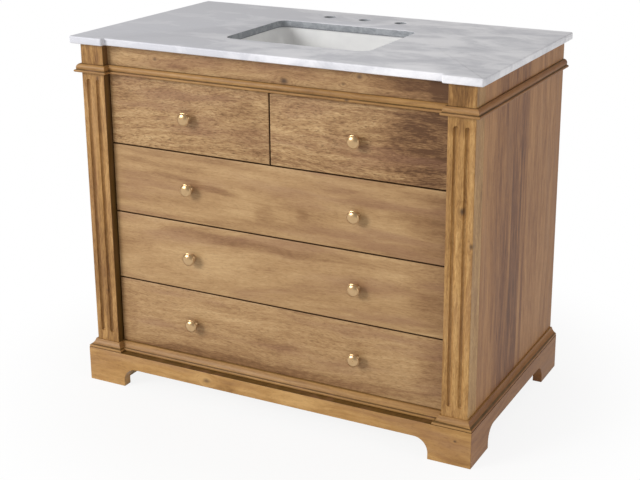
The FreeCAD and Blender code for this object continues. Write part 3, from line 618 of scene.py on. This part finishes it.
def makeChina():
    material, tree, shader, place = newFinish("glazedVitreousChina")
    ripple = addNode(tree, "ShaderNodeTexNoise", values={"Scale": 24.0, "Detail": 2.0},
                     links={"Vector": place})
    tint = addNode(tree, "ShaderNodeMix", {"data_type": "RGBA"},
                   {6: hexColour(china["glaze"]), 7: hexColour(china["light"])},
                   {0: ripple.outputs["Fac"]})
    tree.links.new(tint.outputs[2], shader.inputs["Base Color"])
    wave = addNode(tree, "ShaderNodeBump", values={"Strength": 0.08, "Distance": 0.001},
                   links={"Height": ripple.outputs["Fac"]})
    tree.links.new(wave.outputs[0], shader.inputs["Normal"])
    shader.inputs["Roughness"].default_value = china["roughness"]
    shader.inputs["Coat Weight"].default_value = 0.4
    shader.inputs["Coat Roughness"].default_value = 0.05
    return material


# Metals: turned brass with a satin champagne plating, and zinc plated rolled steel for the slides

metals = {
    "satinChampagneBrass": {"colour": "#CDAE86", "dark": "#B9976C", "roughness": 0.29, "scale": (60, 900, 60)},
    "zincPlatedSteel": {"colour": "#C3C6C9", "dark": "#9DA1A6", "roughness": 0.34, "scale": (30, 12, 160)},
}


def makeMetal(name):
    look = metals[name]
    material, tree, shader, place = newFinish(name)
    spread = addNode(tree, "ShaderNodeMapping", values={"Scale": look["scale"]}, links={"Vector": place})
    brush = addNode(tree, "ShaderNodeTexNoise", values={"Scale": 1.0, "Detail": 3.0},
                    links={"Vector": spread.outputs[0]})
    tint = addNode(tree, "ShaderNodeMix", {"data_type": "RGBA"},
                   {6: hexColour(look["dark"]), 7: hexColour(look["colour"])},
                   {0: brush.outputs["Fac"]})
    tree.links.new(tint.outputs[2], shader.inputs["Base Color"])
    rub = addNode(tree, "ShaderNodeMapRange", links={"Value": brush.outputs["Fac"]},
                  values={"To Min": look["roughness"] - 0.05, "To Max": look["roughness"] + 0.07})
    tree.links.new(rub.outputs[0], shader.inputs["Roughness"])
    shader.inputs["Metallic"].default_value = 1.0
    return material


# Plywood: rotary cut face veneer, so wide loose arches and a dry matt surface

def makePlywood():
    return makeWood("birchFacedPlywood", {
        "colours": ("#B79A70", "#CBB086", "#DAC39C", "#E6D3B0"), "redder": "#C9A877", "turn": alongX,
        "shift": (3.3, 2.1, 1.4), "ring": 0.03, "ringShow": 0.3, "figureShow": 0.1, "poreShow": 0.1,
        "coat": 0.0, "roughness": 0.66})


stone = makeMarble("polishedCarraraMarble", marble)
sawn = makeMarble("honedSawnMarbleWithPaintedShade", shadedSawnMarble, cadHigh[2] - 18 * mm)
glaze = makeChina()
brass = makeMetal("satinChampagneBrass")
zinc = makeMetal("zincPlatedSteel")
plywood = makePlywood()
print("stone, china, metal and plywood ready")


# pieces that keep the frame's shape: a merged copy with softened edges

soft = {"merge": 0.00001, "flat": 0.5, "corner": 28, "smooth": 22}


def solidsOf(mesh):
    # a node's solids follow each other in its mesh, and each one closes on itself
    spots = [tuple(round(c / soft["merge"]) for c in v.co) for v in mesh.vertices]
    solids, openEdges, first = [], set(), 0
    for face in mesh.polygons:
        corners = [spots[i] for i in face.vertices]
        for a, b in zip(corners, corners[1:] + corners[:1]):
            if (b, a) in openEdges:
                openEdges.remove((b, a))
            elif a != b:
                openEdges.add((a, b))
        if not openEdges:
            solids.append(range(first, face.index + 1))
            first = face.index + 1
    return solids


def softenedCopy(node, name, width, segments=2):
    # solid by solid, so that boards which only touch aren't welded to each other
    source = frame["nodes"][node].data
    parts = []
    for solid in solidsOf(source):
        part = bpy.data.objects.new(name, source.copy())
        bpy.context.scene.collection.objects.link(part)
        editing(part)
        bpy.ops.mesh.select_mode(type="FACE")
        editing(part, False)
        for face in part.data.polygons:
            face.select = face.index not in solid
        editing(part)
        bpy.ops.mesh.delete(type="FACE")
        bpy.ops.mesh.select_all(action="SELECT")
        bpy.ops.mesh.customdata_custom_splitnormals_clear()
        bpy.ops.mesh.remove_doubles(threshold=soft["merge"])
        bpy.ops.mesh.dissolve_limited(angle_limit=math.radians(soft["flat"]))
        editing(part, False)
        if width:
            addModifier(part, "BEVEL", {"width": width, "segments": segments, "limit_method": "ANGLE",
                                        "angle_limit": math.radians(soft["corner"]), "use_clamp_overlap": True})
        parts.append(part)
    only(parts[0])
    for part in parts:
        part.select_set(True)
    bpy.ops.object.join()
    settle(parts[0], soft["smooth"])
    return parts[0]


def coat(piece, material, test):
    # a second finish on the faces that pass the test
    piece.data.materials.append(material)
    editing(piece)
    pick(piece, "FACE", test)
    piece.active_material_index = len(piece.data.materials) - 1
    bpy.ops.object.material_slot_assign()
    editing(piece, False)


dressed = {
    # node: (piece, edge radius, slot, material)
    "marble_top": ("marbleSlab", 0.7 * mm, "marble", stone),
    "frieze_rail": ("friezeBoard", 0.5 * mm, "hardwood", wood["friezeWood"]),
    "bottom_rail": ("bottomRail", 0.5 * mm, "hardwood", wood["baseMouldingWood"]),
    "cornice_middle": ("corniceFront", 0.4 * mm, "hardwood", wood["corniceWood"]),
    "cornice_left": ("corniceLeft", 0.4 * mm, "hardwood", wood["corniceWood"]),
    "cornice_right": ("corniceRight", 0.4 * mm, "hardwood", wood["corniceWood"]),
    "base_moulding_middle": ("baseMouldingFront", 0.4 * mm, "hardwood", wood["baseMouldingWood"]),
    "base_moulding_left": ("baseMouldingLeft", 0.4 * mm, "hardwood", wood["baseMouldingWood"]),
    "base_moulding_right": ("baseMouldingRight", 0.4 * mm, "hardwood", wood["baseMouldingWood"]),
    "plinth_front": ("plinthFront", 0.8 * mm, "hardwood", wood["plinthWood"]),
    "plinth_left": ("plinthLeft", 0.8 * mm, "hardwood", wood["sideRunWood"]),
    "plinth_right": ("plinthRight", 0.8 * mm, "hardwood", wood["sideRunWood"]),
    "plinth_back": ("plinthBack", 0.8 * mm, "hardwood", wood["plinthWood"]),
    "left_side_panel": ("leftSidePanel", 0.4 * mm, "hardwood", wood["sidePanelWood"]),
    "right_side_panel": ("rightSidePanel", 0.4 * mm, "hardwood", wood["sidePanelWood"]),
    "rear_posts": ("rearPosts", 0.6 * mm, "hardwood", wood["rearPostWood"]),
    "top_left_drawer_front": ("topLeftFront", 0.7 * mm, "hardwood", wood["topLeftFrontWood"]),
    "top_right_drawer_front": ("topRightFront", 0.7 * mm, "hardwood", wood["topRightFrontWood"]),
    "second_drawer_front": ("secondFront", 0.7 * mm, "hardwood", wood["secondFrontWood"]),
    "third_drawer_front": ("thirdFront", 0.7 * mm, "hardwood", wood["thirdFrontWood"]),
    "bottom_drawer_front": ("bottomFront", 0.7 * mm, "hardwood", wood["bottomFrontWood"]),
    # the divider rails, seen only through the gaps, wear the dark edge finish as painted shade
    "divider_rails": ("dividerRails", 0.5 * mm, "hardwood", wood["gapShadeEdgeWood"]),
    "back_panel": ("backPanel", 0.3 * mm, "plywood", plywood),
}
made = {}
for node, (name, width, slot, material) in dressed.items():
    made[node] = finishPiece(softenedCopy(node, name, width), name, bodyOfNode(node), slot, material, node)
    # the fronts' edges get the dark edge finish: painted shade in the gaps between them
    if node.endswith("_front") and "drawer" in node:
        coat(made[node], wood["gapShadeEdgeWood"], lambda middle, normal: abs(normal.y) < 0.4)
# behind the mitres the mouldings run along the sides, in redder wood
sideRuns = {"outside": 513.6 * mm, "behind": -287 * mm}
for node in ("cornice_left", "cornice_right", "base_moulding_left", "base_moulding_right"):
    coat(made[node], wood["sideRunWood"], lambda middle, normal: abs(middle.x) > sideRuns["outside"]
         and abs(normal.x) > abs(normal.y) and middle.y > sideRuns["behind"])
# painted shade: the quirks of the mouldings and the shelf of the plinth get the dark shaded finish, for the shade
# that falls in these creases
# family: (lowest, highest, how level the face is), ...
quirks = {"cornice": ((819.2 * mm, 821.8 * mm, 0), (833.5 * mm, 835 * mm, 0.7)),
          "base_moulding": ((95.5 * mm, 98.5 * mm, 0.7),)}
for family, bands in quirks.items():
    for side in ("left", "middle", "right"):
        for low, high, upright in bands:
            coat(made[family + "_" + side], wood["shadedWood"], lambda middle, normal: low < middle.z < high
                 and abs(normal.z) >= upright)
shelfAbove = 80 * mm
for node in ("plinth_front", "plinth_left", "plinth_right"):
    coat(made[node], wood["shadedWood"], lambda middle, normal: normal.z > 0.9 and middle.z > shelfAbove)
cutOuts = {"halfWidth": 200 * mm, "front": -156 * mm, "back": 265 * mm}    # where the stone is sawn through
# the cut-out walls: honed and mottled, and darker as painted shade
coat(made["marble_top"], sawn, lambda middle, normal: abs(normal.z) < 0.3
     and abs(middle.x) < cutOuts["halfWidth"] and cutOuts["front"] < middle.y < cutOuts["back"])
print("dressed pieces:", len(dressed))


# pilasters: a post with round front corners and two stopped flutes, cut with a round-nosed cutter

pilaster = {"cornerRound": 1.5 * mm, "fluteApart": 27 * mm, "fluteWidth": 12 * mm, "fluteDeep": 5.8 * mm,
            "fluteLow": 135 * mm, "fluteHigh": {"left_pilaster": 797 * mm, "right_pilaster": 791 * mm},
            "edge": 0.5 * mm}


def growDome(way, radius, steps, centre):
    # the selected end face grows into half a ball
    for i in range(steps):
        a, b = (math.pi / 2 * (i + k) / steps for k in (0, 1))
        bpy.ops.mesh.extrude_region_move(
            TRANSFORM_OT_translate={"value": (0, 0, way * radius * (math.sin(b) - math.sin(a)))})
        shrink = max(math.cos(b), 0.01) / math.cos(a)
        bpy.ops.transform.resize(value=(shrink, shrink, 1), center_override=centre)


def fluteCutter(x, y, low, high, radius):
    bpy.ops.mesh.primitive_cylinder_add(vertices=40, radius=radius, depth=high - low,
                                        location=(x, y, (low + high) / 2))
    cutter = bpy.context.object
    settle(cutter)
    for way in (-1, 1):
        editing(cutter)
        pick(cutter, "FACE", lambda middle, normal: normal.z * way > 0.9)
        growDome(way, radius, 7, (x, y, high))
        editing(cutter, False)
    return cutter


def makePilaster(node, name, material):
    low, high = (Vector(corner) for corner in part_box(node))
    bpy.ops.mesh.primitive_cube_add(size=1, location=(low + high) / 2, scale=high - low)
    post = bpy.context.object
    settle(post)
    editing(post)
    pick(post, "EDGE", lambda a, b: abs(a.z - b.z) > 0.1 and a.y < low.y + mm)
    bpy.ops.mesh.bevel(offset=pilaster["cornerRound"], segments=4)
    editing(post, False)
    radius = (pilaster["fluteWidth"] ** 2 / 4 + pilaster["fluteDeep"] ** 2) / (2 * pilaster["fluteDeep"])
    tip = radius * math.sin(math.acos((radius - pilaster["fluteDeep"]) / radius))
    for side in (-1, 1):
        cutter = fluteCutter((low.x + high.x) / 2 + side * pilaster["fluteApart"] / 2,
                             low.y + pilaster["fluteDeep"] - radius, pilaster["fluteLow"] + tip,
                             pilaster["fluteHigh"][node] - tip, radius)
        addModifier(post, "BOOLEAN", {"object": cutter, "operation": "DIFFERENCE", "solver": "EXACT"})
        bpy.data.objects.remove(cutter)
    addModifier(post, "BEVEL", {"width": pilaster["edge"], "segments": 2, "limit_method": "ANGLE",
                                "angle_limit": math.radians(35), "use_clamp_overlap": True})
    settle(post, 40)
    finishPiece(post, name, "cabinet", "hardwood", material, node)
    # the sides that face the drawers get the dark shaded finish: painted shade of the recess
    inward = 1 if low.x < 0 else -1
    face = high.x if inward > 0 else low.x
    coat(post, wood["shadedWood"], lambda middle, normal: normal.x * inward > 0.8 and abs(middle.x - face) < mm)


makePilaster("left_pilaster", "leftPilaster", wood["leftPilasterWood"])
makePilaster("right_pilaster", "rightPilaster", wood["rightPilasterWood"])
print("pilasters fluted")


# basin: cast in one piece, with leaning walls, wide soft corners, a flat rim under the stone and a drain seat

basin = {"middleY": -12 * mm, "halfX": 195 * mm, "halfY": 146 * mm, "topZ": 884 * mm, "deep": 150 * mm,
         "lean": 22 * mm, "cornerRound": 29 * mm, "floorRound": 32 * mm, "rim": 21 * mm, "wall": 12 * mm,
         "drainRadius": 22.5 * mm, "seatRadius": 32 * mm, "seatDeep": 3 * mm}


def makeBasin():
    look = basin
    bottom = look["topZ"] - look["deep"]
    centre = (0, look["middleY"], look["topZ"])
    bpy.ops.mesh.primitive_cube_add(size=1, location=(0, look["middleY"], look["topZ"] - look["deep"] / 2),
                                    scale=(2 * look["halfX"], 2 * look["halfY"], look["deep"]))
    bowl = bpy.context.object
    settle(bowl)
    editing(bowl)
    pick(bowl, "FACE", lambda middle, normal: normal.z > 0.9)
    bpy.ops.mesh.delete(type="ONLY_FACE")
    pick(bowl, "VERT", lambda at: at.z < bottom + mm)
    bpy.ops.transform.resize(value=(1 - look["lean"] / look["halfX"], 1 - look["lean"] / look["halfY"], 1),
                             center_override=centre)
    pick(bowl, "EDGE", lambda a, b: abs(a.z - b.z) > 0.1)
    bpy.ops.mesh.bevel(offset=look["cornerRound"], segments=10)
    pick(bowl, "EDGE", lambda a, b: max(a.z, b.z) < bottom + mm)
    bpy.ops.mesh.bevel(offset=look["floorRound"], segments=10)
    # the floor is opened, and bridged to a stepped drain seat
    pick(bowl, "FACE", lambda middle, normal: middle.z < bottom + 0.01 * mm)
    bpy.ops.mesh.delete(type="ONLY_FACE")
    bpy.ops.mesh.primitive_circle_add(vertices=44, radius=look["seatRadius"], location=(0, look["middleY"], bottom))
    pick(bowl, "EDGE", lambda a, b: max(a.z, b.z) < bottom + 0.01 * mm)
    bpy.ops.mesh.bridge_edge_loops()
    pick(bowl, "EDGE", lambda a, b: max(a.z, b.z) < bottom + 0.01 * mm and max(
        math.hypot(v.x, v.y - look["middleY"]) for v in (a, b)) < look["seatRadius"] + 0.1 * mm)
    bpy.ops.mesh.extrude_edges_move(TRANSFORM_OT_translate={"value": (0, 0, -look["seatDeep"])})
    bpy.ops.mesh.extrude_edges_move(TRANSFORM_OT_translate={"value": (0, 0, 0)})
    share = look["drainRadius"] / look["seatRadius"]
    bpy.ops.transform.resize(value=(share, share, 1), center_override=(0, look["middleY"], bottom))
    bpy.ops.mesh.extrude_edges_move(TRANSFORM_OT_translate={"value": (0, 0, -look["wall"])})
    pick(bowl, "EDGE", lambda a, b: min(a.z, b.z) > look["topZ"] - 0.1 * mm)
    bpy.ops.mesh.extrude_edges_move(TRANSFORM_OT_translate={"value": (0, 0, 0)})
    bpy.ops.transform.resize(value=(1 + look["rim"] / look["halfX"], 1 + look["rim"] / look["halfY"], 1),
                             center_override=centre)
    bpy.ops.mesh.select_all(action="SELECT")
    bpy.ops.mesh.normals_make_consistent(inside=False)
    editing(bowl, False)
    # the open sheet's normals point up and inwards, so the wall grows away from the water
    up = [f.normal.z for f in bowl.data.polygons if abs(f.normal.z) > 0.9]
    if sum(up) < 0:
        editing(bowl)
        bpy.ops.mesh.select_all(action="SELECT")
        bpy.ops.mesh.flip_normals()
        editing(bowl, False)
    addModifier(bowl, "SOLIDIFY", {"thickness": look["wall"], "offset": -1})
    addModifier(bowl, "BEVEL", {"width": 1.2 * mm, "segments": 3, "limit_method": "ANGLE",
                                "angle_limit": math.radians(50), "use_clamp_overlap": True})
    settle(bowl, 50)
    return finishPiece(bowl, "glazedBasin", "cabinet", "vitreous_china", glaze, "sink_basin")


makeBasin()
print("basin cast")


# knobs: turned in one piece, a collar, a waisted neck with a bead, and a low domed head with a fine rim

knob = {
    "sides": 56,
    "faceY": -270 * mm,
    # radius and height above the drawer's face, in mm
    "profile": ((9.5, 0), (9.5, 1.3), (9.1, 1.9), (7.6, 2.2), (7.2, 3.0), (6.0, 4.2), (5.2, 6.0), (4.9, 8.5),
                (5.0, 10.5), (6.0, 11.2), (6.8, 12.2), (6.8, 12.8), (6.0, 13.6), (6.2, 14.4), (8.0, 15.6),
                (11.5, 16.6), (14.6, 17.2), (15.9, 17.9), (16.3, 18.8), (16.3, 19.6), (15.9, 20.4), (15.1, 20.8),
                (14.9, 21.4), (13.4, 22.9), (11.3, 24.2), (8.7, 25.2), (5.8, 25.9), (2.9, 26.2), (0.6, 26.3)),
    "places": {  # body: (x, z) of each knob
        "top_left_drawer": ((-224.25, 725.7),), "top_right_drawer": ((224.25, 725.7),),
        "second_drawer": ((-224.25, 550.06), (224.25, 550.06)),
        "third_drawer": ((-224.25, 374.44), (224.25, 374.44)),
        "bottom_drawer": ((-224.25, 198.8), (224.25, 198.8)),
    },
}


def turnKnob():
    radius = knob["profile"][0][0]
    bpy.ops.mesh.primitive_circle_add(vertices=knob["sides"], radius=radius * mm, fill_type="NGON",
                                      location=(0, knob["faceY"], 0), rotation=(math.pi / 2, 0, 0))
    piece = bpy.context.object
    settle(piece)
    editing(piece)
    bpy.ops.mesh.select_mode(type="FACE")
    bpy.ops.mesh.select_all(action="SELECT")
    for (r0, h0), (r1, h1) in zip(knob["profile"], knob["profile"][1:]):
        bpy.ops.mesh.extrude_region_move(TRANSFORM_OT_translate={"value": (0, (h0 - h1) * mm, 0)})
        bpy.ops.transform.resize(value=(r1 / r0, 1, r1 / r0), center_override=(0, knob["faceY"], 0))
    bpy.ops.mesh.select_all(action="SELECT")
    bpy.ops.mesh.normals_make_consistent(inside=False)
    editing(piece, False)
    settle(piece, 30)
    return piece


master = turnKnob()
for body, places in knob["places"].items():
    copies = []
    for x, z in places:
        copy = bpy.data.objects.new("knob", master.data.copy())
        bpy.context.scene.collection.objects.link(copy)
        copy.location = (x * mm, 0, z * mm)
        settle(copy, 30)
        copies.append(copy)
    bpy.ops.object.select_all(action="DESELECT")
    for copy in copies:
        copy.select_set(True)
    bpy.context.view_layer.objects.active = copies[0]
    if len(copies) > 1:
        bpy.ops.object.join()
    finishPiece(copies[0], body + "Knobs", body, "brass", brass, body + "_knobs")
bpy.data.objects.remove(master)
print("knobs turned")


# drawer boxes with through dovetails, plywood bottoms and rolled steel slides

boxEnds = (-244 * mm, 196 * mm)          # the dovetailed boards across the front and the back
for body in knob["places"]:
    box = softenedCopy(body + "_box", body + "Box", 0.4 * mm, 1)
    finishPiece(box, body + "Box", body, "drawer_wood", wood["boxWood"], body + "_box")
    coat(box, wood["boxEndWood"], lambda middle, normal: min(abs(middle.y - y) for y in boxEnds) < 5 * mm)
    for part in ("_links", "_runners"):
        piece = softenedCopy(body + part, body + part.title().replace("_", ""), 0.25 * mm, 1)
        finishPiece(piece, piece.name, bodyOfNode(body + part), "slide_steel", zinc, body + part)
for node, name, width in (("slide_cabinet_members", "slideCabinetMembers", 0.25 * mm),
                          ("sink_clips", "basinClips", 0.4 * mm)):
    finishPiece(softenedCopy(node, name, width, 1), name, "cabinet", "slide_steel", zinc, node)
print("drawer boxes, slides and clips dressed")


# what is left keeps the frame's own mesh, in the finish of its slot

plain = {"hardwood": wood["innerWood"], "drawer_wood": wood["boxWood"], "plywood": plywood, "marble": stone,
         "vitreous_china": glaze, "brass": brass, "slide_steel": zinc}
slots = {part["node"]: part["material_slot"] for part in frame["record"]["subparts"]}
for name, node in frame["nodes"].items():
    if not node.hide_render:
        node.data.materials.clear()
        node.data.materials.append(plain[slots[name]])
print("inner pieces dressed in place")
